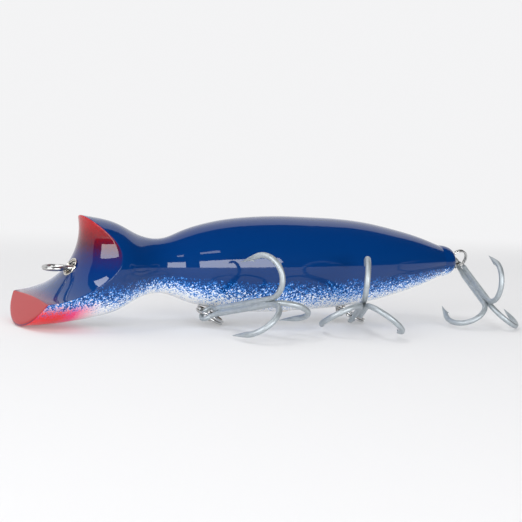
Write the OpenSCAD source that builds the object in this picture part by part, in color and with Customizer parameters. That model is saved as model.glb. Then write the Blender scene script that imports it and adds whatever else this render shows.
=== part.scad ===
// Topwater popper: a through-wired wooden fishing lure with three treble hooks.
// Millimetres. The nose points along -X, the tail along +X and the back of the lure along +Z.
// The origin is the centre of the line tie, on the axis of the turned body.

/* [Body] */
// Length of the turned body, lower lip to tail
body_length = 178; // [176:1:182]
// Diameter of the head at the lower lip
head_diameter = 38; // [37:0.5:39]
// Diameter at the narrow waist behind the head
waist_diameter = 18.8; // [18:0.2:20]
// Largest diameter of the belly
belly_diameter = 34.6; // [34:0.2:36]
// Diameter where the tail starts to round off
tail_diameter = 12.4; // [12:0.2:14]
// Distance from the line tie's centre forward to the tip of the lower lip
lip_reach = 13; // [12.5:0.5:13.5]

/* [Face] */
// Distance from the lip's tip back to the centre of the face
face_depth = 19; // [18.8:0.1:19.4]
// Half length, front to back, of the hollow that the face is cut with
scoop_half_length = 22; // [21.6:0.2:22.6]
// Half height of that hollow
scoop_half_height = 21.8; // [21.6:0.1:22.2]
// Height of the hollow's centre above the axis
scoop_height = 12; // [11.8:0.1:12.2]
// Radius of the face's bulge from side to side, seen from above
face_bulge_radius = 19.6; // [19.4:0.2:20.6]
// Angle that the flat on the lower lip leans back from upright
lip_flat_angle = 29; // [27:1:31]

/* [Through wire] */
// Diameter of the stainless through wire
wire_diameter = 1.6; // [1.5:0.05:1.7]
// Inner diameter of the line tie loop
line_tie_inner = 4.8; // [4.6:0.1:5]
// Inner diameter of the tail loop
tail_loop_inner = 3.6; // [3.6:0.05:3.7]
// Bore along the body for the through wire
wire_bore = 2.6; // [2.4:0.1:3]

/* [Belly swivels] */
// Distance from the line tie's centre back to the front swivel
front_swivel_x = 60; // [59:0.5:61]
// Distance from the line tie's centre back to the middle swivel
mid_swivel_x = 115; // [114:0.5:116]
// Diameter of a swivel's barrel
barrel_diameter = 4.8; // [4.6:0.1:5]
// Length of a swivel's barrel
barrel_length = 9; // [8.6:0.2:9.2]
// Diameter of the wire of a swivel's eyes
swivel_wire = 1.3; // [1.2:0.05:1.4]
// Bore of the brass grommet that lines each swivel hole
grommet_bore = 7.6; // [7.4:0.1:8]

/* [Split rings] */
// Outer diameter of a belly split ring
belly_ring_diameter = 10.8; // [10.6:0.1:11]
// Outer diameter of the tail split ring
tail_ring_diameter = 8.2; // [8:0.1:8.4]
// Diameter of the belly split rings' wire
belly_ring_wire = 0.95; // [0.9:0.05:1]
// Diameter of the tail split ring's wire
tail_ring_wire = 0.75; // [0.7:0.05:0.8]

/* [Treble hooks] */
// Diameter of the treble hooks' wire
hook_wire = 2; // [1.9:0.05:2]
// Distance from a treble's eye to where its three hooks bend away
hook_shank = 27.9; // [27.5:0.1:28.5]
// Radius of the round bend of a hook
bend_radius = 7.5; // [7.3:0.1:7.7]
// Inner diameter of a treble's eye
treble_eye_inner = 3.8; // [3.8:0.05:3.9]

/* [Hidden] */
$fn = 48;

// Body outline: share of the length from the lip, and radius there
head_r = head_diameter / 2;
waist_r = waist_diameter / 2;
belly_r = belly_diameter / 2;
tail_r = tail_diameter / 2;
outline = [
    [0, head_r], [0.05, 0.99 * head_r], [0.1, 0.95 * head_r], [0.15, 0.885 * head_r],
    [0.195, 0.78 * head_r], [0.235, 0.6 * head_r], [0.265, 1.035 * waist_r], [0.285, waist_r],
    [0.31, 1.07 * waist_r], [0.34, 0.695 * belly_r], [0.38, 0.82 * belly_r], [0.43, 0.92 * belly_r],
    [0.5, 0.985 * belly_r], [0.56, belly_r], [0.63, 0.98 * belly_r], [0.7, 0.945 * belly_r],
    [0.77, 0.865 * belly_r], [0.84, 0.725 * belly_r], [0.91, 0.545 * belly_r], [0.965, tail_r]
];
outline_steps = 4;
tail_flat = 0.62;
lip_x = -lip_reach;
tail_x = lip_x + body_length;
face_x = lip_x + face_depth;

// Hollow of the face: an ellipse swept round an upright axis behind the face
bulge_axis_x = face_x + face_bulge_radius;
scoop_centre_x = face_x - scoop_half_length * sqrt(1 - pow(scoop_height / scoop_half_height, 2));
scoop_points = 48;

// Through wire
wire_r = wire_diameter / 2;
line_tie_r = (line_tie_inner + wire_diameter) / 2;
tail_loop_r = (tail_loop_inner + wire_diameter) / 2;
tail_loop_reach = 1.1;
tail_loop_x = tail_x + tail_loop_reach;
tail_loop_tilt = 30;
wrap_turns = 3;
wrap_pitch = 0.98 * wire_diameter;
nose_wrap_x = face_x + 4;
tail_wrap_x = tail_x - 10;
wrap_hole_d = 5.6;
wrap_hole_depth = 9;
cut_margin = 4;

// Cup washers at the two ends, each let into a stepped seat; the nose one lies along the face
nose_washer_d = 6.8;
nose_washer_hole = 4.4;
nose_seat_angle = 35;
tail_washer_d = 7.2;
tail_washer_hole = 2.2;
washer_rim = 0.6;
washer_seat = 0.2;
washer_dish = 1;
washer_gap = 0.05;
tail_washer_gap = 1.2;
tail_washer_x = tail_loop_x - tail_loop_r - wire_r - tail_washer_gap;

// Belly swivels hang from the wire through a bore that starts above the axis
swivel_bore = grommet_bore + 1.2;
bore_top = 4;
grommet_length = 7;
swivel_eye_inner = 3.6;
swivel_eye_r = (swivel_eye_inner + swivel_wire) / 2;
wire_gap = 0.1;
top_eye_z = wire_r - swivel_eye_inner / 2 + wire_gap;
stem_gap = 1.2;
barrel_top_z = top_eye_z - swivel_eye_r - stem_gap;
barrel_end_z = barrel_top_z - barrel_length;
low_eye_z = barrel_end_z - stem_gap - swivel_eye_r;
barrel_wall = 0.8;
barrel_groove = 0.3;
swivel_gap = 0.12;
head_gap = 0.15;
head_d = 2.3;
head_t = 0.9;

// Belly weight between the two swivels
weight_x = (front_swivel_x + mid_swivel_x) / 2;
weight_d = 9;
weight_length = 8;
plug_length = 4;
plug_gap = 0.5;
fit_gap = 0.05;

// Hooks: three wires lie side by side, so their centres are on this circle
strand_gap = 0.02;
strand_r = hook_wire / sqrt(3) + strand_gap;
treble_eye_wire = 1.7;
single_gap = 0.3;
bend_swell = 1.03;
treble_eye_r = (treble_eye_inner + treble_eye_wire) / 2;
throat_angle = 7;
point_length = 7.5;
point_tip = 0.12;
barb_start = 1.4;
barb_end = 2.2;
barb_reach = 1.5;
barb_width = 0.7;

// A split ring's two turns overlap a little; its wire ends show as notches beside each other
ring_turn_offset = 0.48;
ring_end_angle = 6;
ring_end_gap = 0.25;

// How the pieces lie at rest. Split rings: centre and normal. Trebles: eye, direction of the
// shank, direction of the first hook and turn of the eye about the shank.
front_low_eye_turn = 36;
mid_low_eye_turn = 86;
front_ring = [[56.9, -4.7, -17.2], [0.44, -0.19, 0.88]];
mid_ring = [[116.5, -5.2, -18.9], [0.34, -0.13, 0.93]];
tail_ring = [[169.95, 0.8, 0.5], [0, 0.92, 0.39]];
front_treble = [[54.4, -7.9, -15.9], [0.36, -0.9, 0.27], [-0.19, 0.21, 0.96], 125];
mid_treble = [[115.3, -10.2, -18.8], [-0.47, -0.83, 0.31], [0.19, 0.25, 0.95], 129];
tail_treble = [[171.9, 1.6, -2.3], [-0.23, -0.9, -0.36], [-0.05, -0.36, 0.93], 71];

// Cubic curve from one outline point to the next, with the slopes of its neighbours
function slope(i) =
    let (a = outline[max(i - 1, 0)], b = outline[min(i + 1, len(outline) - 1)])
    (b[1] - a[1]) / (b[0] - a[0]);
function between(i, t) =
    let (a = outline[i], b = outline[i + 1], w = b[0] - a[0], t2 = t * t, t3 = t * t * t)
    [
        body_length * (a[0] + w * t),
        (2 * t3 - 3 * t2 + 1) * a[1] + (t3 - 2 * t2 + t) * w * slope(i)
            + (3 * t2 - 2 * t3) * b[1] + (t3 - t2) * w * slope(i + 1)
    ];
function unit(v) = v / norm(v);

// Puts children at a point, their Z axis along one direction and their X axis near another
module placed(at, z_to, x_near) {
    z = unit(z_to);
    x = unit(x_near - (x_near * z) * z);
    y = cross(z, x);
    multmatrix([
        [x[0], y[0], z[0], at[0]],
        [x[1], y[1], z[1], at[1]],
        [x[2], y[2], z[2], at[2]],
        [0, 0, 0, 1]
    ]) children();
}

module along_x(x) {
    translate([x, 0, 0]) rotate([0, 90, 0]) children();
}

module ring(radius, wire_r) {
    rotate_extrude() translate([radius, 0]) circle(r = wire_r, $fn = 24);
}

module turned_blank() {
    last = len(outline) - 1;
    curve = [
        for (i = [0:last - 1]) for (k = [0:outline_steps - 1]) between(i, k / outline_steps)
    ];
    start = between(last - 1, 1);
    run = body_length - start[0];
    flat = tail_flat * start[1];
    rounding = [
        for (a = [0:15:90]) [start[0] + run * sin(a), flat + (start[1] - flat) * cos(a)]
    ];
    along_x(lip_x) rotate_extrude($fn = 96)
        polygon([for (p = concat([[0, 0]], curve, rounding, [[body_length, 0]])) [p[1], p[0]]]);
}

module face_hollow() {
    reach = bulge_axis_x - scoop_centre_x;
    translate([bulge_axis_x, 0, 0]) rotate([0, 0, 90]) rotate_extrude(angle = 180, $fn = 96)
        polygon([
            for (i = [0:scoop_points - 1])
                let (a = 360 * i / scoop_points)
                [reach + scoop_half_length * cos(a), scoop_height + scoop_half_height * sin(a)]
        ]);
}

module lip_flat() {
    size = 2 * head_diameter;
    translate([lip_x, 0, -head_r]) rotate([0, lip_flat_angle, 0])
        translate([-size, -size / 2, -size / 2]) cube(size);
}

module swivel_bore_cut(x) {
    translate([x, 0, -head_diameter]) cylinder(d = swivel_bore, h = head_diameter + bore_top);
}

module wood_body() {
    color("navy") difference() {
        turned_blank();
        face_hollow();
        lip_flat();
        along_x(lip_x) cylinder(d = wire_bore, h = body_length + 1);
        along_x(face_x - cut_margin) cylinder(d = wrap_hole_d, h = wrap_hole_depth + cut_margin);
        nose_seat_place() washer_seat_cut(nose_washer_d);
        along_x(tail_wrap_x - 1) cylinder(d = wrap_hole_d, h = wrap_hole_depth);
        along_x(tail_washer_x) washer_seat_cut(tail_washer_d);
        swivel_bore_cut(front_swivel_x);
        swivel_bore_cut(mid_swivel_x);
        translate([weight_x, 0, -head_diameter])
            cylinder(d = weight_d, h = head_diameter - wire_bore / 2 - 2);
    }
}

module wire_wraps(x) {
    for (i = [0:wrap_turns - 1])
        along_x(x + i * wrap_pitch) ring(wire_diameter - 0.05, wire_r);
}

module through_wire() {
    color("silver") {
        ring(line_tie_r, wire_r);
        along_x(line_tie_r) cylinder(r = wire_r, h = tail_loop_x - tail_loop_r - line_tie_r);
        translate([tail_loop_x, 0, 0]) rotate([tail_loop_tilt, 0, 0]) ring(tail_loop_r, wire_r);
        wire_wraps(nose_wrap_x);
        wire_wraps(tail_wrap_x);
    }
}

// A dished washer: its rim sits in the step of its seat and its middle dips into the hole
module cup_washer(outer_d, hole_d) {
    outer = outer_d / 2;
    inner = hole_d / 2;
    rotate_extrude() polygon([
        [inner, -washer_dish], [inner + washer_rim / 2, -washer_dish],
        [outer - washer_rim, -washer_seat], [outer, -washer_seat], [outer, washer_rim],
        [outer - washer_rim, washer_rim], [inner, washer_rim - washer_dish]
    ]);
}

module washer_seat_cut(outer_d) {
    translate([0, 0, -washer_seat])
        cylinder(d = outer_d + 2 * washer_gap, h = washer_seat + cut_margin);
    translate([0, 0, -washer_dish - washer_gap])
        cylinder(d = outer_d - washer_rim, h = washer_dish + cut_margin);
}

module nose_seat_place() {
    translate([face_x, 0, 0]) rotate([0, nose_seat_angle - 90, 0]) children();
}

module nose_grommet() {
    color("gainsboro") nose_seat_place() cup_washer(nose_washer_d, nose_washer_hole);
}

module tail_grommet() {
    color("gainsboro") along_x(tail_washer_x) cup_washer(tail_washer_d, tail_washer_hole);
}

module belly_weight() {
    color("dimgray") translate([weight_x, 0, -belly_r + plug_length + plug_gap + 2 * fit_gap])
        cylinder(d = weight_d - 2 * fit_gap, h = weight_length);
}

module weight_plug() {
    color("white") intersection() {
        translate([weight_x, 0, -head_diameter])
            cylinder(d = weight_d - fit_gap, h = head_diameter - belly_r + plug_length + plug_gap);
        turned_blank();
    }
}

module belly_grommet(x) {
    color("goldenrod") intersection() {
        translate([x, 0, -belly_r]) difference() {
            cylinder(d = swivel_bore - fit_gap, h = grommet_length);
            translate([0, 0, -1]) cylinder(d = grommet_bore, h = grommet_length + 2);
        }
        turned_blank();
    }
}

// A swivel's eye: a round loop, its stem and the head that the barrel holds
module swivel_eye(stem) {
    rotate([90, 0, 0]) ring(swivel_eye_r, swivel_wire / 2);
    translate([0, 0, swivel_eye_r]) cylinder(d = swivel_wire, h = stem);
    translate([0, 0, swivel_eye_r + stem]) cylinder(d = head_d, h = head_t);
}

module top_eye(x) {
    color("silver") translate([x, 0, top_eye_z]) rotate([180, 0, 90])
        swivel_eye(top_eye_z - swivel_eye_r - barrel_top_z + barrel_wall + head_gap);
}

module low_eye(x, turn) {
    color("silver") translate([x, 0, low_eye_z]) rotate([0, 0, turn])
        swivel_eye(barrel_end_z - low_eye_z - swivel_eye_r + barrel_wall + head_gap);
}

module swivel_barrel(x) {
    half = barrel_length / 2;
    outer = barrel_diameter / 2;
    inner = outer - barrel_wall;
    neck = swivel_wire / 2 + swivel_gap;
    color("goldenrod") translate([x, 0, barrel_end_z]) rotate_extrude() polygon([
        [neck, 0], [inner, 0], [outer, barrel_wall],
        [outer, half - 2 * barrel_groove], [outer - barrel_groove, half - barrel_groove],
        [outer - barrel_groove, half + barrel_groove], [outer, half + 2 * barrel_groove],
        [outer, barrel_length - barrel_wall], [inner, barrel_length], [neck, barrel_length],
        [neck, barrel_length - barrel_wall], [inner, barrel_length - barrel_wall],
        [inner, barrel_wall], [neck, barrel_wall]
    ]);
}

// Two turns of wire side by side, with a notch where each end of the wire lies
module split_ring(outer_d, wire_d, lie) {
    r = (outer_d - wire_d) / 2;
    step = ring_turn_offset * wire_d;
    color("silver") placed(lie[0], lie[1], [1, 0, 0]) difference() {
        for (side = [-1, 1]) translate([0, 0, side * step]) ring(r, wire_d / 2);
        for (side = [-1, 1]) rotate([0, 0, ring_end_angle * side])
            translate([r, 0, side * (step + wire_d / 2)])
                cube([2 * wire_d, ring_end_gap, wire_d], center = true);
    }
}

// One hook in its own plane: shank along +Z from the eye, bend out to +X, point back towards -Z
module hook(start) {
    point_x = strand_r + bend_radius * (1 + cos(throat_angle));
    point_z = hook_shank - bend_radius * sin(throat_angle);
    translate([strand_r, 0, start]) cylinder(d = hook_wire, h = hook_shank - start);
    translate([strand_r + bend_radius, 0, hook_shank]) mirror([1, 0, 0]) rotate([90, 0, 0])
        rotate_extrude(angle = 180 + throat_angle) translate([bend_radius, 0]) circle(d = hook_wire);
    translate([point_x, 0, point_z]) rotate([0, 180 + throat_angle, 0]) {
        sphere(d = bend_swell * hook_wire);
        cylinder(d1 = hook_wire, d2 = point_tip, h = point_length);
        rotate([90, 0, 0]) linear_extrude(barb_width, center = true)
            polygon([[0, point_length - barb_end], [barb_reach, barb_start], [0, barb_start + 1]]);
    }
}

module treble_placed(lie) {
    placed(lie[0], lie[1], lie[2]) children();
}

// Two of the three hooks are one wire, bent round to make the eye
module treble_double(lie) {
    color("lightsteelblue") treble_placed(lie) {
        rotate([90, 0, lie[3]]) ring(treble_eye_r, treble_eye_wire / 2);
        for (side = [120, 240]) rotate([0, 0, side]) hook(treble_eye_r);
    }
}

// The third hook is brazed into the groove between them
module treble_single(lie) {
    color("lightsteelblue") treble_placed(lie) hook(treble_eye_r + treble_eye_wire / 2 + single_gap);
}

module front_belly_grommet() { belly_grommet(front_swivel_x); }
module front_swivel_top_eye() { top_eye(front_swivel_x); }
module front_swivel_barrel() { swivel_barrel(front_swivel_x); }
module front_swivel_low_eye() { low_eye(front_swivel_x, front_low_eye_turn); }
module front_split_ring() { split_ring(belly_ring_diameter, belly_ring_wire, front_ring); }
module front_treble_double() { treble_double(front_treble); }
module front_treble_single() { treble_single(front_treble); }
module mid_belly_grommet() { belly_grommet(mid_swivel_x); }
module mid_swivel_top_eye() { top_eye(mid_swivel_x); }
module mid_swivel_barrel() { swivel_barrel(mid_swivel_x); }
module mid_swivel_low_eye() { low_eye(mid_swivel_x, mid_low_eye_turn); }
module mid_split_ring() { split_ring(belly_ring_diameter, belly_ring_wire, mid_ring); }
module mid_treble_double() { treble_double(mid_treble); }
module mid_treble_single() { treble_single(mid_treble); }
module tail_split_ring() { split_ring(tail_ring_diameter, tail_ring_wire, tail_ring); }
module tail_treble_double() { treble_double(tail_treble); }
module tail_treble_single() { treble_single(tail_treble); }

wood_body();
through_wire();
nose_grommet();
tail_grommet();
belly_weight();
weight_plug();
front_belly_grommet();
front_swivel_top_eye();
front_swivel_barrel();
front_swivel_low_eye();
front_split_ring();
front_treble_double();
front_treble_single();
mid_belly_grommet();
mid_swivel_top_eye();
mid_swivel_barrel();
mid_swivel_low_eye();
mid_split_ring();
mid_treble_double();
mid_treble_single();
tail_split_ring();
tail_treble_double();
tail_treble_single();
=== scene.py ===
import math

import bmesh
import bpy
import numpy as np
from mathutils import Matrix, Vector


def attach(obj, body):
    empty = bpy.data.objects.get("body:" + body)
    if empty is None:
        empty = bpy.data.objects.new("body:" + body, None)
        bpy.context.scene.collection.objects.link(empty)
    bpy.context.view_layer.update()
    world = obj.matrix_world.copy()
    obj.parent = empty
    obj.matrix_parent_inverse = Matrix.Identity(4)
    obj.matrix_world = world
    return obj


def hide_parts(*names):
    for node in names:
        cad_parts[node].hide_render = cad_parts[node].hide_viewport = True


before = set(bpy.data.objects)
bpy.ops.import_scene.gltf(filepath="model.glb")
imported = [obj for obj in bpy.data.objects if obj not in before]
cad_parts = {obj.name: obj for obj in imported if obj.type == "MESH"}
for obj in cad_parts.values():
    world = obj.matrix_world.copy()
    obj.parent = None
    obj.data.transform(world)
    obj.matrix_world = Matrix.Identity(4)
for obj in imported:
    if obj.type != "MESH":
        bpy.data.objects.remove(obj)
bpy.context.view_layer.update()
MM = 0.001

# ---------------------------------------------------------------- camera
CAMERA_AT = Vector((-0.1633, -0.4119, 0.0590))
CAMERA_RIGHT = Vector((0.8637, -0.5011, 0.0545)).normalized()
CAMERA_BACK = -Vector((0.5039, 0.8554, -0.1203)).normalized()
CAMERA_UP = CAMERA_BACK.cross(CAMERA_RIGHT).normalized()
CAMERA_RIGHT = CAMERA_UP.cross(CAMERA_BACK)

cam_data = bpy.data.cameras.new("camera")
cam_data.lens = 92.07
cam_data.sensor_width = 36
cam = bpy.data.objects.new("camera", cam_data)
bpy.context.scene.collection.objects.link(cam)
camera_axes = Matrix((CAMERA_RIGHT, CAMERA_UP, CAMERA_BACK)).transposed()
cam.matrix_world = Matrix.Translation(CAMERA_AT) @ camera_axes.to_4x4()
bpy.context.scene.camera = cam
bpy.context.scene.view_settings.view_transform = "Standard"


# ---------------------------------------------------------------- helpers
def new_object(name, verts, faces):
    mesh = bpy.data.meshes.new(name)
    mesh.from_pydata([tuple(v) for v in verts], [], faces)
    mesh.validate()
    mesh.update()
    mesh.polygons.foreach_set("use_smooth", [True] * len(mesh.polygons))
    obj = bpy.data.objects.new(name, mesh)
    bpy.context.scene.collection.objects.link(obj)
    return obj


def fix_normals(obj):
    bm = bmesh.new()
    bm.from_mesh(obj.data)
    bmesh.ops.remove_doubles(bm, verts=bm.verts, dist=1e-6)
    bmesh.ops.recalc_face_normals(bm, faces=bm.faces)
    bm.to_mesh(obj.data)
    bm.free()


def piece(obj, body, slot, mat, *nodes):
    obj.data.materials.clear()
    obj.data.materials.append(mat)
    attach(obj, body)
    if nodes:
        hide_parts(*nodes)
    return obj


def frames(points):
    """The points of a path, and two directions across it that turn as little as possible along it."""
    pts = np.asarray(points, float)
    tan = np.gradient(pts, axis=0)
    tan /= np.linalg.norm(tan, axis=1)[:, None]
    ref = np.array([0, 0, 1.0]) if abs(tan[0][2]) < 0.9 else np.array([1.0, 0, 0])
    u = ref - (ref @ tan[0]) * tan[0]
    u /= np.linalg.norm(u)
    us = [u]
    for i in range(1, len(pts)):
        u = us[-1] - (us[-1] @ tan[i]) * tan[i]
        us.append(u / np.linalg.norm(u))
    us = np.array(us)
    return pts, us, np.cross(tan, us)


def tube(points, radii, sides):
    """Vertices and faces of a round wire along a path, in the points' own units."""
    pts, us, vs = frames(points)
    radii = np.broadcast_to(radii, (len(pts),))
    angles = np.arange(sides) * 2 * math.pi / sides
    verts = []
    for p, u, v, r in zip(pts, us, vs, radii):
        for a in angles:
            verts.append(p + r * (math.cos(a) * u + math.sin(a) * v))
    rows = len(pts)
    faces = []
    for i in range(rows - 1):
        for j in range(sides):
            a, b = i * sides + j, i * sides + (j + 1) % sides
            c, d = (i + 1) * sides + (j + 1) % sides, (i + 1) * sides + j
            faces.append((a, b, c, d))
    faces.append(tuple(reversed(range(sides))))
    faces.append(tuple(range((rows - 1) * sides, rows * sides)))
    return verts, faces


def joined(parts):
    verts, faces = [], []
    for v, f in parts:
        base = len(verts)
        verts += list(v)
        faces += [tuple(base + i for i in face) for face in f]
    return verts, faces


def arc(centre, a, b, start, stop, steps):
    """Points on a circle arc: centre + cos*a + sin*b."""
    t = np.linspace(start, stop, steps)
    return np.asarray(centre) + np.cos(t)[:, None] * np.asarray(a) + np.sin(t)[:, None] * np.asarray(b)


def line(a, b, steps):
    t = np.linspace(0, 1, steps)[:, None]
    return np.asarray(a) * (1 - t) + np.asarray(b) * t


def unit(v):
    v = np.asarray(v, float)
    return v / np.linalg.norm(v)


# ---------------------------------------------------------------- shape of the turned body, in mm
BODY_LENGTH, HEAD_R, WAIST_R, BELLY_R, TAIL_R = 178.0, 19.0, 9.4, 17.3, 6.2
LIP_X = -13.0
TAIL_X = LIP_X + BODY_LENGTH
TAIL_FLAT = 0.62
FACE_HOLE_R, FACE_HOLE_DEPTH = 2.6, 9.0
TAIL_HOLE_R, TAIL_HOLE_DEPTH = 3.55, 6.0
BORE_R = 0.9  # the bore for the through wire
RIM_ROUND = 0.45  # how far the rounding of the face's rim reaches on each side
TAIL_LOOP_X, TAIL_LOOP_TILT, TAIL_LOOP_INNER = TAIL_X + 1.1, 30, 3.6
FACE_X = LIP_X + 19.0
SCOOP_A, SCOOP_B, SCOOP_Z, BULGE_R = 22.0, 21.8, 12.0, 19.6
BULGE_X = FACE_X + BULGE_R
SCOOP_X = FACE_X - SCOOP_A * math.sqrt(1 - (SCOOP_Z / SCOOP_B) ** 2)
FLAT_SLOPE = math.tan(math.radians(29))
OUTLINE = [
    (0, HEAD_R), (0.05, 0.99 * HEAD_R), (0.1, 0.95 * HEAD_R), (0.15, 0.885 * HEAD_R), (0.195, 0.78 * HEAD_R),
    (0.235, 0.6 * HEAD_R), (0.265, 1.035 * WAIST_R), (0.285, WAIST_R), (0.31, 1.07 * WAIST_R),
    (0.34, 0.695 * BELLY_R), (0.38, 0.82 * BELLY_R), (0.43, 0.92 * BELLY_R), (0.5, 0.985 * BELLY_R),
    (0.56, BELLY_R), (0.63, 0.98 * BELLY_R), (0.7, 0.945 * BELLY_R), (0.77, 0.865 * BELLY_R),
    (0.84, 0.725 * BELLY_R), (0.91, 0.545 * BELLY_R), (0.965, TAIL_R),
]


def smooth_curve(points):
    """Natural cubic spline through the outline."""
    x = np.array([p[0] for p in points])
    y = np.array([p[1] for p in points])
    n, h = len(x), np.diff(x)
    m = np.eye(n)
    rhs = np.zeros(n)
    for i in range(1, n - 1):
        m[i, i - 1:i + 2] = h[i - 1], 2 * (h[i - 1] + h[i]), h[i]
        rhs[i] = 6 * ((y[i + 1] - y[i]) / h[i] - (y[i] - y[i - 1]) / h[i - 1])
    k = np.linalg.solve(m, rhs)

    def at(s):
        i = np.clip(np.searchsorted(x, s) - 1, 0, n - 2)
        a, b = x[i + 1] - s, s - x[i]
        return (k[i] * a ** 3 + k[i + 1] * b ** 3) / (6 * h[i]) + (y[i] / h[i] - k[i] * h[i] / 6) * a + (
            y[i + 1] / h[i] - k[i + 1] * h[i] / 6) * b
    return at


outline_at = smooth_curve(OUTLINE)
ROUND_X = LIP_X + 0.965 * BODY_LENGTH
ROUND_R = float(outline_at(np.array([0.965]))[0])


def body_radius(x):
    x = np.atleast_1d(np.asarray(x, float))
    r = outline_at(np.clip((x - LIP_X) / BODY_LENGTH, 0, 0.965))
    t = np.clip((x - ROUND_X) / (TAIL_X - ROUND_X), 0, 1)
    flat = TAIL_FLAT * ROUND_R
    return np.where(x > ROUND_X, flat + (ROUND_R - flat) * np.sqrt(1 - t * t), r)


def face_surface(y, z):
    """How far back the face lies: the swept hollow, or the flat on the lip where that stands further back."""
    rho = BULGE_X - SCOOP_X - SCOOP_A * np.sqrt(np.clip(1 - ((z - SCOOP_Z) / SCOOP_B) ** 2, 0, 1))
    hollow = BULGE_X - np.sqrt(np.clip(rho ** 2 - y ** 2, 0.01, None))
    flat = LIP_X + FLAT_SLOPE * (z + HEAD_R)
    return 0.5 * (hollow + flat + np.sqrt((hollow - flat) ** 2 + 0.25 ** 2))


def build_body():
    around, deep, rim_rows, along = 384, 150, 5, 420
    th = np.arange(around) * 2 * math.pi / around
    cy, cz = np.cos(th), np.sin(th)
    low, high = np.full(around, 8.0), np.full(around, 21.0)
    for _ in range(50):
        mid = (low + high) / 2
        inside = mid < body_radius(face_surface(mid * cy, mid * cz))
        low, high = np.where(inside, mid, low), np.where(inside, high, mid)
    rim_r = (low + high) / 2
    rim_x = face_surface(rim_r * cy, rim_r * cz)
    verts, faces = [], []
    # face, from the wire hole out to just short of the rim
    for t in np.linspace(0, 1, deep):
        r = FACE_HOLE_R + (rim_r - RIM_ROUND - FACE_HOLE_R) * t
        x = face_surface(r * cy, r * cz)
        verts += [(a, b, c) for a, b, c in zip(x, r * cy, r * cz)]
    # rounded rim
    r_in = rim_r - RIM_ROUND
    x_in = face_surface(r_in * cy, r_in * cz)
    x_out = rim_x + RIM_ROUND
    r_out = body_radius(x_out)
    for t in np.linspace(0, 1, rim_rows + 1)[1:]:
        w0, w1, w2 = (1 - t) ** 2, 2 * t * (1 - t), t * t
        x = w0 * x_in + w1 * rim_x + w2 * x_out
        r = w0 * r_in + w1 * rim_r + w2 * r_out
        verts += [(a, b, c) for a, b, c in zip(x, r * cy, r * cz)]
    # flank, from the rim to the tail
    end = TAIL_X - 0.02
    for i in range(1, along + 1):
        s = i / along
        x = x_out + (end - x_out) * (s + 0.12 * math.sin(math.pi * s) * s)
        x = np.minimum(x, end)
        r = body_radius(x)
        verts += [(a, b, c) for a, b, c in zip(x, r * cy, r * cz)]
    rows = deep + rim_rows + along
    # tail end and the walls of the wire holes
    tail_hole_x = TAIL_X - TAIL_HOLE_DEPTH
    for x, r in ((TAIL_X, TAIL_HOLE_R), (tail_hole_x, TAIL_HOLE_R), (tail_hole_x, BORE_R)):
        verts += [(x, r * a, r * b) for a, b in zip(cy, cz)]
        rows += 1
    for i in range(rows - 1):
        for j in range(around):
            k = (j + 1) % around
            faces.append((i * around + j, (i + 1) * around + j, (i + 1) * around + k, i * around + k))
    # the hole in the face, as a short tube going in
    base = len(verts)
    for r in (FACE_HOLE_R, BORE_R):
        x = FACE_X + FACE_HOLE_DEPTH
        verts += [(x, r * a, r * b) for a, b in zip(cy, cz)]
    for j in range(around):
        k = (j + 1) % around
        faces.append((base + j, j, k, base + k))
        faces.append((base + around + j, base + j, base + k, base + around + k))
        last = (rows - 1) * around
        faces.append((last + j, base + around + j, base + around + k, last + k))
    obj = new_object("painted_body", np.array(verts) * MM, faces)
    fix_normals(obj)
    return obj


body = build_body()


def cut_cylinder(obj, at, radius, depth):
    bm = bmesh.new()
    bmesh.ops.create_cone(bm, cap_ends=True, segments=96, radius1=radius, radius2=radius, depth=depth)
    bmesh.ops.translate(bm, verts=bm.verts, vec=at)
    mesh = bpy.data.meshes.new("cutter")
    bm.to_mesh(mesh)
    bm.free()
    cutter = bpy.data.objects.new("cutter", mesh)
    bpy.context.scene.collection.objects.link(cutter)
    mod = obj.modifiers.new("hole", "BOOLEAN")
    mod.operation = "DIFFERENCE"
    mod.solver = "EXACT"
    mod.object = cutter
    dg = bpy.context.evaluated_depsgraph_get()
    new_mesh = bpy.data.meshes.new_from_object(obj.evaluated_get(dg))
    obj.modifiers.clear()
    obj.data = new_mesh
    bpy.data.objects.remove(cutter)


FRONT_X, MID_X = 60.0, 115.0
SWIVEL_HOLE_R, SWIVEL_HOLE_MID_Z, SWIVEL_HOLE_LENGTH = 4.42, -14.0, 20.0
for hole_x in (FRONT_X, MID_X):
    cut_cylinder(body, (hole_x * MM, 0, SWIVEL_HOLE_MID_Z * MM), SWIVEL_HOLE_R * MM, SWIVEL_HOLE_LENGTH * MM)
body.data.set_sharp_from_angle(angle=math.radians(48))


# ---------------------------------------------------------------- materials
def material(name):
    mat = bpy.data.materials.new(name)
    mat.use_nodes = True
    nodes, links = mat.node_tree.nodes, mat.node_tree.links
    nodes.clear()
    out = nodes.new("ShaderNodeOutputMaterial")
    bsdf = nodes.new("ShaderNodeBsdfPrincipled")
    links.new(bsdf.outputs["BSDF"], out.inputs["Surface"])
    return mat, nodes, links, bsdf


def srgb(r, g, b):
    def lin(c):
        c /= 255
        return c / 12.92 if c <= 0.04045 else ((c + 0.055) / 1.055) ** 2.4
    return (lin(r), lin(g), lin(b), 1)


def maths(nodes, links, op, a, b=None, c=None):
    n = nodes.new("ShaderNodeMath")
    n.operation = op
    for i, v in enumerate((a, b, c)):
        if v is None:
            continue
        if isinstance(v, (int, float)):
            n.inputs[i].default_value = v
        else:
            links.new(v, n.inputs[i])
    return n.outputs[0]


def ramp(nodes, links, fac, stops):
    n = nodes.new("ShaderNodeValToRGB")
    links.new(fac, n.inputs["Fac"])
    el = n.color_ramp.elements
    while len(el) < len(stops):
        el.new(0.5)
    for e, (pos, col) in zip(el, stops):
        e.position = pos
        e.color = col
    return n.outputs["Color"]


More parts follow.
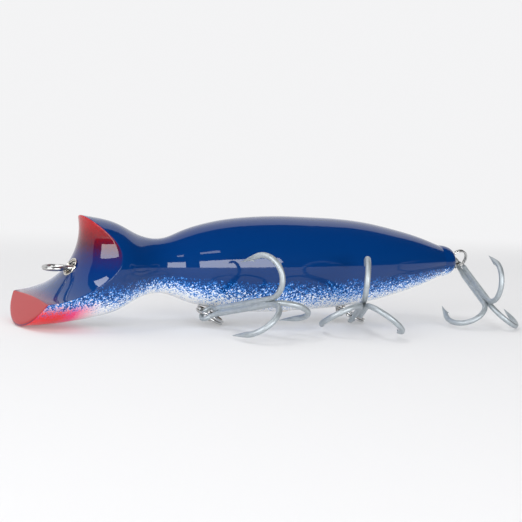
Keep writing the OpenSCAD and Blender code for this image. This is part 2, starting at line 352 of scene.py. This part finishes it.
def mix(nodes, links, fac, a, b):
    n = nodes.new("ShaderNodeMix")
    n.data_type = "RGBA"
    for sock, v in ((n.inputs[0], fac), (n.inputs[6], a), (n.inputs[7], b)):
        if isinstance(v, (int, float, tuple)):
            sock.default_value = v
        else:
            links.new(v, sock)
    return n.outputs[2]


def noise(nodes, links, vector, scale, detail=2.0, rough=0.5):
    n = nodes.new("ShaderNodeTexNoise")
    links.new(vector, n.inputs["Vector"])
    n.inputs["Scale"].default_value = scale
    n.inputs["Detail"].default_value = detail
    n.inputs["Roughness"].default_value = rough
    return n.outputs["Fac"]


def object_coords(nodes):
    return nodes.new("ShaderNodeTexCoord").outputs["Object"]


def bump(nodes, links, height, strength, distance, bsdf, coat=False):
    n = nodes.new("ShaderNodeBump")
    n.inputs["Strength"].default_value = strength
    n.inputs["Distance"].default_value = distance
    links.new(height, n.inputs["Height"])
    links.new(n.outputs["Normal"], bsdf.inputs["Coat Normal" if coat else "Normal"])


def smoothstep(nodes, links, value, low, high):
    n = nodes.new("ShaderNodeMapRange")
    n.interpolation_type = "SMOOTHSTEP"
    links.new(value, n.inputs["Value"])
    n.inputs["From Min"].default_value = low
    n.inputs["From Max"].default_value = high
    return n.outputs["Result"]


NAVY = srgb(0, 50, 108)
DEEP = srgb(0, 44, 102)
ROYAL = srgb(2, 104, 194)
SKY = srgb(92, 164, 236)
WHITE = srgb(244, 245, 245)
CRIMSON = srgb(232, 0, 22)
PINK = srgb(244, 40, 120)


def paint_material():
    mat, nodes, links, bsdf = material("lure_paint")
    co = object_coords(nodes)
    sep = nodes.new("ShaderNodeSeparateXYZ")
    links.new(co, sep.inputs[0])
    x, y, z = sep.outputs

    def m(*operands):
        return maths(nodes, links, *operands)

    # height round the body: -1 at the belly, +1 on the back
    rad = m("SQRT", m("ADD", m("MULTIPLY", y, y), m("MULTIPLY", z, z)))
    h = m("DIVIDE", z, m("MAXIMUM", rad, 0.0005))
    drift = noise(nodes, links, co, 60, 2)
    h = m("ADD", h, m("MULTIPLY", m("SUBTRACT", drift, 0.5), 0.10))
    # spatter: fine droplets, with coarser ones among them
    fine = noise(nodes, links, co, 2100, 1.5, 0.6)
    coarse = noise(nodes, links, co, 900, 2.0, 0.6)
    fine_drops = m("MULTIPLY", m("SUBTRACT", fine, 0.5), 1.5)
    coarse_drops = m("MULTIPLY", m("SUBTRACT", coarse, 0.5), 0.9)
    drops = m("ADD", fine_drops, coarse_drops)
    zone = smoothstep(nodes, links, h, -0.06, -0.36)
    level = m("ADD", h, m("MULTIPLY", m("MULTIPLY", drops, zone), 1.1))
    level = m("MULTIPLY_ADD", level, 0.5, 0.5)
    flank = ramp(nodes, links, level, [
        (0.0, WHITE), (0.11, WHITE), (0.17, SKY), (0.24, ROYAL), (0.33, NAVY), (1.0, DEEP)])
    # red under the lip, fading through pink towards the belly
    along = m("ADD", x, m("MULTIPLY", m("SUBTRACT", coarse, 0.5), 0.004))
    blush = ramp(nodes, links, m("MULTIPLY_ADD", along, 25.0, 0.35), [
        (0.0, CRIMSON), (0.30, CRIMSON), (0.42, PINK), (0.66, WHITE)])
    under = m("ADD", h, m("MULTIPLY", drops, 0.32))
    blush_mask = m("MULTIPLY", m("SUBTRACT", 1.0, smoothstep(nodes, links, under, -0.78, -0.55)),
                   m("SUBTRACT", 1.0, smoothstep(nodes, links, along, 0.006, 0.022)))
    flank = mix(nodes, links, blush_mask, flank, blush)
    # face: red at the upper tip, purple mist, navy in the hollow, red again on the lip
    top = m("ADD", z, m("MULTIPLY", drops, 0.003))
    face = ramp(nodes, links, m("MULTIPLY_ADD", top, 40.0, 0.20), [
        (0.0, NAVY), (0.22, srgb(4, 42, 104)), (0.38, srgb(36, 32, 88)), (0.52, srgb(74, 16, 44)),
        (0.66, srgb(120, 12, 22)), (0.92, srgb(186, 14, 22))])
    lip = m("ADD", x, m("MULTIPLY", drops, 0.0035))
    lip_red = m("SUBTRACT", 1.0, smoothstep(nodes, links, lip, -0.0095, -0.001))
    low_half = m("SUBTRACT", 1.0, smoothstep(nodes, links, z, -0.006, 0.0))
    face = mix(nodes, links, m("MULTIPLY", m("MULTIPLY", lip_red, low_half), 0.75), face, srgb(120, 20, 40))
    flat_x = m("MULTIPLY_ADD", z, FLAT_SLOPE, LIP_X * MM + FLAT_SLOPE * HEAD_R * MM)
    flat_mask = m("LESS_THAN", m("SUBTRACT", x, flat_x), 0.0003)
    face = mix(nodes, links, flat_mask, face, srgb(158, 16, 20))
    attr = nodes.new("ShaderNodeAttribute")
    attr.attribute_name = "face_side"
    colour = mix(nodes, links, attr.outputs["Fac"], flank, face)
    links.new(colour, bsdf.inputs["Base Color"])
    bsdf.inputs["Roughness"].default_value = 0.5
    bsdf.inputs["Specular IOR Level"].default_value = 0.02
    bsdf.inputs["Coat Weight"].default_value = 1.0
    bsdf.inputs["Coat Roughness"].default_value = 0.012
    bsdf.inputs["Coat IOR"].default_value = 1.45
    bump(nodes, links, noise(nodes, links, co, 260, 2), 0.05, 0.0004, bsdf, coat=True)
    return mat


def metal(name, colour, rough, wear, scale, dent=0.00002, metallic=1.0):
    mat, nodes, links, bsdf = material(name)
    co = object_coords(nodes)
    n = noise(nodes, links, co, scale, 4, 0.6)
    dark = tuple(c * (1 - wear) for c in colour[:3]) + (1,)
    patches = smoothstep(nodes, links, n, 0.35, 0.65)
    links.new(mix(nodes, links, patches, dark, colour), bsdf.inputs["Base Color"])
    bsdf.inputs["Metallic"].default_value = metallic
    links.new(maths(nodes, links, "MULTIPLY_ADD", n, rough * 0.6, rough * 0.7), bsdf.inputs["Roughness"])
    bump(nodes, links, n, 0.4, dent, bsdf)
    return mat


def solid_paint(name, colour, rough, scale):
    mat, nodes, links, bsdf = material(name)
    co = object_coords(nodes)
    n = noise(nodes, links, co, scale, 4, 0.6)
    dark = tuple(c * 0.8 for c in colour[:3]) + (1,)
    links.new(mix(nodes, links, n, dark, colour), bsdf.inputs["Base Color"])
    bsdf.inputs["Roughness"].default_value = rough
    bump(nodes, links, n, 0.3, 0.00005, bsdf)
    return mat


PAINT = paint_material()
TIN = metal("tinned_hook_steel", srgb(182, 190, 195), 0.5, 0.14, 700, 0.00003, 0.72)
STEEL = metal("drawn_stainless", srgb(196, 197, 196), 0.3, 0.12, 900)
RING = metal("ring_steel", srgb(205, 205, 204), 0.24, 0.12, 900)
NICKEL = metal("nickel_plate", srgb(222, 218, 208), 0.16, 0.08, 400)
BRASS = metal("brass", srgb(190, 148, 80), 0.24, 0.3, 600)
LEAD = metal("cast_lead", srgb(96, 98, 104), 0.6, 0.3, 300, 0.0001)
WOOD = solid_paint("bare_wood", srgb(206, 172, 120), 0.7, 250)

# ---------------------------------------------------------------- painted body
co_x = np.empty(len(body.data.vertices) * 3)
body.data.vertices.foreach_get("co", co_x)
co_x = co_x.reshape(-1, 3) / MM
on_face = face_surface(co_x[:, 1], co_x[:, 2])
radius = np.hypot(co_x[:, 1], co_x[:, 2])
flank_gap = body_radius(co_x[:, 0]) - radius
face_side = np.clip((0.22 + flank_gap - np.abs(co_x[:, 0] - on_face)) / 0.2, 0, 1) * (co_x[:, 0] < 40)
layer = body.data.attributes.new("face_side", "FLOAT", "POINT")
layer.data.foreach_set("value", face_side.astype(np.float32))
piece(body, "lure_body", "painted_wood", PAINT, "wood_body")


# ---------------------------------------------------------------- wire, rings and hooks
def catmull(points, steps):
    p = np.asarray(points, float)
    p = np.vstack([2 * p[0] - p[1], p, 2 * p[-1] - p[-2]])
    t = np.linspace(0, 1, steps, endpoint=False)[:, None]
    rows = []
    for i in range(1, len(p) - 2):
        a, b, c, d = p[i - 1], p[i], p[i + 1], p[i + 2]
        square, cube = 2 * a - 5 * b + 4 * c - d, 3 * b - a - 3 * c + d
        rows.append(0.5 * (2 * b + (c - a) * t + square * t ** 2 + cube * t ** 3))
    rows.append(p[-2:-1])
    return np.vstack(rows)


def axes_of(z_to, x_near):
    z = unit(z_to)
    x = unit(np.asarray(x_near, float) - (np.asarray(x_near, float) @ z) * z)
    return np.array([x, np.cross(z, x), z])


def placed(verts, at, axes):
    return (np.asarray(verts) @ axes + np.asarray(at)) * MM


WIRE_R, LINE_TIE_INNER = 0.8, 4.8
LINE_TIE_R = (LINE_TIE_INNER + 2 * WIRE_R) / 2
WRAP_TURNS, WRAP_PITCH = 2.9, 1.58
OPEN_ANGLE = math.radians(40)  # a loop is open by this much on each side of its neck


def through_wire():
    """The one wire: line tie, wraps behind the face, shaft, wraps before the tail and the tail loop."""
    nose = arc((0, 0, 0), (LINE_TIE_R, 0, 0), (0, LINE_TIE_R, 0), OPEN_ANGLE, 2 * math.pi - OPEN_ANGLE, 48)
    run_in = catmull([(14, 0, 0), (9, 0, 0), (5.6, 0.1, 0), (3.9, 0.9, 0), tuple(nose[0])], 8)[:-1]
    turns = np.linspace(0, WRAP_TURNS * 2 * math.pi, 90)
    advance = turns / (2 * math.pi) * WRAP_PITCH
    across, over = -WRAP_PITCH * np.cos(turns), -WRAP_PITCH * np.sin(turns)
    wrap = np.stack([FACE_X + 3.6 + advance, across, over], 1)
    run_out = catmull([tuple(nose[-1]), (4.0, -1.3, 0), (6.5, -1.5, 0), tuple(wrap[0])], 8)[1:-1]
    front = np.vstack([run_in, nose, run_out, wrap])
    a = math.radians(TAIL_LOOP_TILT)
    side = np.array([0, math.cos(a), math.sin(a)])
    r = (TAIL_LOOP_INNER + 2 * WIRE_R) / 2
    c = np.array([TAIL_LOOP_X, 0, 0])
    tail = arc(c, (-r, 0, 0), r * side, OPEN_ANGLE, 2 * math.pi - OPEN_ANGLE, 48)
    t_in = catmull([(TAIL_LOOP_X - 12, 0, 0), (TAIL_LOOP_X - 8, 0, 0), tuple(c + (-r - 1.8, 0, 0)),
                    tuple(c + (-r - 0.5, 0, 0) + 0.7 * side), tuple(tail[0])], 8)[:-1]
    wrap2 = np.stack([TAIL_LOOP_X - 6.6 - advance, across * side[1] - over * side[2],
                      across * side[2] + over * side[1]], 1)
    t_out = catmull([tuple(tail[-1]), tuple(c + (-r - 0.8, 0, 0) - 1.3 * side), tuple(wrap2[0])], 8)[1:-1]
    back = np.vstack([t_in, tail, t_out, wrap2])
    shaft = tube(line((14, 0, 0), (TAIL_LOOP_X - 12, 0, 0), 60), WIRE_R, 24)
    return joined([tube(front, WIRE_R, 24), shaft, tube(back, WIRE_R, 24)])


def add(name, parts, body, slot, mat, *nodes):
    verts, faces = parts
    obj = new_object(name, np.asarray(verts), faces)
    fix_normals(obj)
    return piece(obj, body, slot, mat, *nodes)


verts, faces = through_wire()
add("line_tie_and_through_wire", (np.asarray(verts) * MM, faces), "lure_body", "stainless_wire", STEEL,
    "through_wire")


def lathe(profile, sides=72):
    """A closed profile of (radius, height) points turned about Z."""
    verts = []
    for k in range(sides):
        a = 2 * math.pi * k / sides
        verts += [(r * math.cos(a), r * math.sin(a), h) for r, h in profile]
    n = len(profile)
    faces = []
    for k in range(sides):
        for i in range(n):
            a, b = k * n + i, k * n + (i + 1) % n
            c, d = ((k + 1) % sides) * n + (i + 1) % n, ((k + 1) % sides) * n + i
            faces.append((a, d, c, b))
    return np.array(verts), faces


def washer_profile(outer, inner):
    """A dished washer with a rolled rim."""
    angles = np.linspace(-0.6, math.pi, 14)
    rim = [(outer - 0.3 + 0.3 * math.cos(t), 0.1 + 0.36 * math.sin(t)) for t in angles]
    dish = catmull([rim[-1], (outer - 0.85, -0.1), (inner + 0.35, -0.5), (inner, -0.95)], 6).tolist()
    return rim + dish[1:] + [(inner + 0.3, -1.0), (outer - 0.75, -0.32), (outer - 0.2, -0.2)]


SEAT_ANGLE = math.radians(30)  # the nose washer lies along the sloping face
seat_axes = axes_of((-math.cos(SEAT_ANGLE), 0, math.sin(SEAT_ANGLE)), (0, 1, 0))
verts, faces = lathe(washer_profile(3.4, 2.2))
verts = placed(verts, (FACE_X, 0, 0), seat_axes)
add("nose_cup_washer", (verts, faces), "lure_body", "nickel_washer", NICKEL, "nose_grommet")
TAIL_WASHER_X = TAIL_LOOP_X - 4.6
verts, faces = lathe(washer_profile(3.5, 1.9))
verts = placed(verts, (TAIL_WASHER_X, 0, 0), axes_of((1, 0, 0), (0, 1, 0)))
add("tail_cup_washer", (verts, faces), "lure_body", "nickel_washer", NICKEL, "tail_grommet")


def split_ring(outer_d, wire_d, turn):
    """Two flat turns of wire with a jog, past which each end of the wire lies."""
    r, step, gap = (outer_d - wire_d) / 2, 0.48 * wire_d, 0.35
    t = np.linspace(gap, 4 * math.pi - gap, 220)
    s = np.clip((t - 2 * math.pi + gap) / (2 * gap), 0, 1)
    height = step * (2 * s * s * (3 - 2 * s) - 1)
    path = np.stack([r * np.cos(t + turn), r * np.sin(t + turn), height], 1)
    return tube(path, wire_d / 2, 18)


# ring centre, direction of its axis, outer diameter, wire diameter, turn of the wire's ends
RINGS = {
    "front": ((56.9, -4.7, -17.2), (0.44, -0.19, 0.88), 10.8, 0.95, 3.6),
    "mid": ((116.5, -5.2, -18.9), (0.34, -0.13, 0.93), 10.8, 0.95, 3.4),
    "tail": ((169.95, 0.8, 0.5), (0, 0.92, 0.39), 8.2, 0.75, 1.2),
}
for where, (centre, normal, outer_d, wire_d, turn) in RINGS.items():
    verts, faces = split_ring(outer_d, wire_d, turn)
    verts = placed(verts, centre, axes_of(normal, (1, 0, 0)))
    add(where + "_coiled_ring", (verts, faces), where + "_ring", "split_ring_steel", RING,
        where + "_split_ring")

HOOK_R, STRAND_R, EYE_R, EYE_WIRE_R = 1.0, 1.1747, 2.71, 0.8
SHANK, BEND_R, THROAT, POINT = 27.9, 7.5, math.radians(7), 7.5
UP = np.array([0, 0, 1.0])


def radial(degrees):
    return np.array([math.cos(math.radians(degrees)), math.sin(math.radians(degrees)), 0])


def hook_path(out):
    """Centre line and radius from the top of the bend side of a shank to the needle point."""
    bend = arc((STRAND_R + BEND_R) * out + SHANK * UP, BEND_R * out, BEND_R * UP, math.pi, -THROAT, 56)
    heading = -math.sin(THROAT) * out - math.cos(THROAT) * UP
    s = np.linspace(0, 1, 26)[1:, None]
    tip = bend[-1] + s * POINT * heading
    taper = 0.04 + (HOOK_R - 0.04) * (1 - s[:, 0] ** 1.35)
    return np.vstack([bend, tip]), np.concatenate([np.full(len(bend), HOOK_R), taper]), bend[-1], heading


def barb(start, heading, out):
    """A sliver raised from the inner side of the point, its tip towards the bend."""
    inward = unit(-math.cos(THROAT) * out + math.sin(THROAT) * UP)
    side = np.cross(heading, inward)
    edge = [(0.15, 5.2, 0.30), (0.62, 3.7, 0.30), (1.02, 2.6, 0.24), (1.34, 1.85, 0.16), (1.5, 1.4, 0.06)]
    back = [(1.16, 1.85, 0.14), (0.82, 2.35, 0.22), (0.5, 2.8, 0.26), (0.1, 3.3, 0.28)]
    outline = edge + back
    verts = [start + a * inward + b * heading + w * sgn * side for sgn in (-1, 1) for a, b, w in outline]
    n = len(outline)
    faces = [tuple(range(n)), tuple(reversed(range(n, 2 * n)))]
    faces += [(i, n + i, n + (i + 1) % n, (i + 1) % n) for i in range(n)]
    return verts, faces


def single_hook(degrees, start):
    """The third hook, from its rounded end below the eye to its point."""
    out = radial(degrees)
    path, radii, end, heading = hook_path(out)
    nose = line(STRAND_R * out + start * UP, STRAND_R * out + (start + 1.1) * UP, 8)
    nose_r = HOOK_R * np.sqrt(np.clip(1 - (1 - np.linspace(0, 1, 8)) ** 2, 0.04, 1))
    shank = line(STRAND_R * out + (start + 1.3) * UP, STRAND_R * out + (SHANK - 0.3) * UP, 40)
    points = np.vstack([nose, shank, path])
    radii = np.concatenate([nose_r, np.full(40, HOOK_R), radii])
    return joined([tube(points, radii, 24), barb(end, heading, out)])


def double_hook(eye_turn):
    """Two hooks of one wire, which makes the eye between them, with braze along the shanks."""
    across = radial(eye_turn)
    strands = []
    for degrees in (120, 240):
        out = radial(degrees)
        path, radii, end, heading = hook_path(out)
        shank = line(STRAND_R * out + 7.5 * UP, STRAND_R * out + (SHANK - 0.3) * UP, 40)
        radii = np.concatenate([np.full(40, HOOK_R), radii])
        strands.append((np.vstack([shank, path]), radii, end, heading, out))
    a, b = strands
    top_a, top_b = (tuple(strand[0][0]) for strand in strands)
    foot_a, foot_b = (0.55 * strand[0][0] * (1, 1, 0) for strand in strands)
    eye = arc((0, 0, 0), EYE_R * across, EYE_R * UP, math.radians(48), math.radians(-228), 60)
    knee_a = catmull([top_a, tuple(foot_a + 0.6 * across + 4.6 * UP), tuple(eye[0])], 10)
    knee_b = catmull([tuple(eye[-1]), tuple(foot_b - 0.6 * across + 4.6 * UP), top_b], 10)
    points = np.vstack([a[0][::-1], knee_a[1:-1], eye, knee_b[1:-1], b[0]])
    ease = np.linspace(0, 1, len(knee_a) - 2)
    ease = ease * ease * (3 - 2 * ease)
    down = HOOK_R + (EYE_WIRE_R - HOOK_R) * ease
    radii = np.concatenate([a[1][::-1], down, np.full(len(eye), EYE_WIRE_R), down[::-1], b[1]])
    braze_z = np.linspace(4.9, SHANK - 0.6, 40)
    braze_r = 1.14 * np.sqrt(np.clip(np.minimum(braze_z - 4.8, SHANK - 0.5 - braze_z) / 1.4, 0.02, 1))
    braze = tube(np.outer(braze_z, UP), braze_r, 24)
    return joined([tube(points, radii, 24), braze, barb(a[2], a[3], a[4]), barb(b[2], b[3], b[4])])


# eye centre, direction of the shank, direction of the single hook, turn of the eye
TREBLES = {
    "front": ((54.4, -7.9, -15.9), (0.36, -0.9, 0.27), (-0.19, 0.21, 0.96), 125),
    "mid": ((115.3, -10.2, -18.8), (-0.47, -0.83, 0.31), (0.19, 0.25, 0.95), 129),
    "tail": ((171.9, 1.6, -2.3), (-0.23, -0.9, -0.36), (-0.05, -0.36, 0.93), 71),
}
for where, (eye_at, shank_to, hook_to, eye_turn) in TREBLES.items():
    for name, parts in (("double", double_hook(eye_turn)), ("single", single_hook(0, 3.9))):
        verts, faces = parts
        verts = placed(verts, eye_at, axes_of(shank_to, hook_to))
        add("%s_%s_hook" % (where, name), (verts, faces), where + "_treble", "tinned_hook", TIN,
            "%s_treble_%s" % (where, name))

# ---------------------------------------------------------------- plug over the belly weight
PLUG_X = (FRONT_X + MID_X) / 2
plug = [(0.01, 0), (4.1, 0), (4.4, 0.3), (4.4, 3.9), (4.1, 4.2), (0.01, 4.2)]
verts, faces = lathe(plug)
verts = placed(verts, (PLUG_X, 0, -BELLY_R + 0.35), np.eye(3))
add("belly_filler_plug", (verts, faces), "lure_body", "filler_wood", WOOD, "weight_plug")

# ---------------------------------------------------------------- finishes of the CAD's own pieces
FINISH = {"belly_weight": LEAD}
for where in ("front", "mid"):
    FINISH[where + "_belly_grommet"] = BRASS
    FINISH[where + "_swivel_barrel"] = BRASS
    FINISH[where + "_swivel_top_eye"] = STEEL
    FINISH[where + "_swivel_low_eye"] = STEEL
for node, mat in FINISH.items():
    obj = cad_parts[node]
    for slot in obj.material_slots:
        slot.material = mat


# ---------------------------------------------------------------- floor, wall and light
FLOOR_LEVEL, WALL_Y, WALL_TOP, COVE_R = -0.01945, 0.65, 1.5, 0.22
FLOOR_GLOW, WALL_GLOW, FLOOR_DIFFUSE = 0.70, 0.91, 0.72
FLOOR_FRONT_Y, FLOOR_X = -1.6, (-2.4, 2.6)


def floor_z(x, y):
    """The ground's height; it leans a little, as the lure lies on it."""
    return FLOOR_LEVEL - 0.021 * x - 0.0072 * y


def sweep_material():
    """Pale card: the floor is mostly diffuse, to take soft shadows, and the wall behind it glows evenly."""
    mat = bpy.data.materials.new("pale_sweep")
    mat.use_nodes = True
    nodes, links = mat.node_tree.nodes, mat.node_tree.links
    nodes.clear()
    out = nodes.new("ShaderNodeOutputMaterial")
    emission, diffuse, both = (nodes.new("ShaderNode" + n) for n in ("Emission", "BsdfDiffuse", "MixShader"))
    sep = nodes.new("ShaderNodeSeparateXYZ")
    links.new(object_coords(nodes), sep.inputs[0])
    rise = smoothstep(nodes, links, sep.outputs[1], 0.08, 0.34)
    emission.inputs["Color"].default_value = (0.99, 0.99, 1, 1)
    glow = maths(nodes, links, "MULTIPLY_ADD", rise, WALL_GLOW - FLOOR_GLOW, FLOOR_GLOW)
    links.new(glow, emission.inputs["Strength"])
    matt = maths(nodes, links, "MULTIPLY_ADD", rise, -FLOOR_DIFFUSE, FLOOR_DIFFUSE)
    links.new(matt, both.inputs["Fac"])
    diffuse.inputs["Color"].default_value = (0.8, 0.8, 0.81, 1)
    links.new(emission.outputs[0], both.inputs[1])
    links.new(diffuse.outputs[0], both.inputs[2])
    # seen from below the card lets the view through, so that the underside of the lure can be looked at
    clear, one_way = nodes.new("ShaderNodeBsdfTransparent"), nodes.new("ShaderNodeMixShader")
    links.new(nodes.new("ShaderNodeNewGeometry").outputs["Backfacing"], one_way.inputs["Fac"])
    links.new(both.outputs[0], one_way.inputs[1])
    links.new(clear.outputs[0], one_way.inputs[2])
    links.new(one_way.outputs[0], out.inputs["Surface"])
    return mat


turn = np.linspace(0, math.pi / 2, 24)
profile = [(FLOOR_FRONT_Y, 0.0)]
profile += [(WALL_Y - COVE_R + COVE_R * math.sin(t), COVE_R * (1 - math.cos(t))) for t in turn]
profile += [(WALL_Y, WALL_TOP)]
verts = [(x, y, floor_z(x, y) + rise) for y, rise in profile for x in FLOOR_X]
faces = [(2 * i, 2 * i + 1, 2 * i + 3, 2 * i + 2) for i in range(len(profile) - 1)]
sweep = new_object("sweep", verts, faces)
sweep.data.materials.append(sweep_material())
sweep.visible_shadow = False


def softbox(name, azimuth, elevation, width, height, radiance, distance=1.0):
    """An area light seen from the lure at an azimuth from -Y towards +X, aimed at the lure's middle."""
    a, e = math.radians(azimuth), math.radians(elevation)
    away = Vector((math.sin(a) * math.cos(e), -math.cos(a) * math.cos(e), math.sin(e)))
    data = bpy.data.lights.new(name, "AREA")
    data.shape = "RECTANGLE"
    data.size, data.size_y = width, height
    data.energy = radiance * math.pi * width * height
    obj = bpy.data.objects.new(name, data)
    bpy.context.scene.collection.objects.link(obj)
    obj.location = Vector((0.075, 0, 0)) + away * distance
    obj.rotation_euler = away.to_track_quat("Z", "Y").to_euler()
    return obj


softbox("flank_strip", 6.5, 10, 0.72, 0.35, 8.0)
softbox("high_box", -6, 43, 0.22, 0.10, 4.0)
softbox("face_box", -63, 19, 0.70, 0.38, 7.5)
softbox("face_high_box", -95, 64, 0.36, 0.20, 8.0)
overhead = softbox("overhead_fill", 0, 88, 3.6, 3.6, 0.92, distance=2.0)
overhead.visible_glossy = False


def studio_world():
    """A pale room to look at, and a dark one in reflections, as round a light tent."""
    world = bpy.data.worlds.new("studio")
    world.use_nodes = True
    nodes, links = world.node_tree.nodes, world.node_tree.links
    nodes.clear()
    dark, pale = nodes.new("ShaderNodeBackground"), nodes.new("ShaderNodeBackground")
    dark.inputs["Color"].default_value = (0.9, 0.95, 1, 1)
    dark.inputs["Strength"].default_value = 0.012
    pale.inputs["Color"].default_value = (1, 1, 1, 1)
    pale.inputs["Strength"].default_value = WALL_GLOW
    both, out = nodes.new("ShaderNodeMixShader"), nodes.new("ShaderNodeOutputWorld")
    links.new(nodes.new("ShaderNodeLightPath").outputs["Is Camera Ray"], both.inputs["Fac"])
    links.new(dark.outputs[0], both.inputs[1])
    links.new(pale.outputs[0], both.inputs[2])
    links.new(both.outputs[0], out.inputs["Surface"])
    return world


bpy.context.scene.world = studio_world()
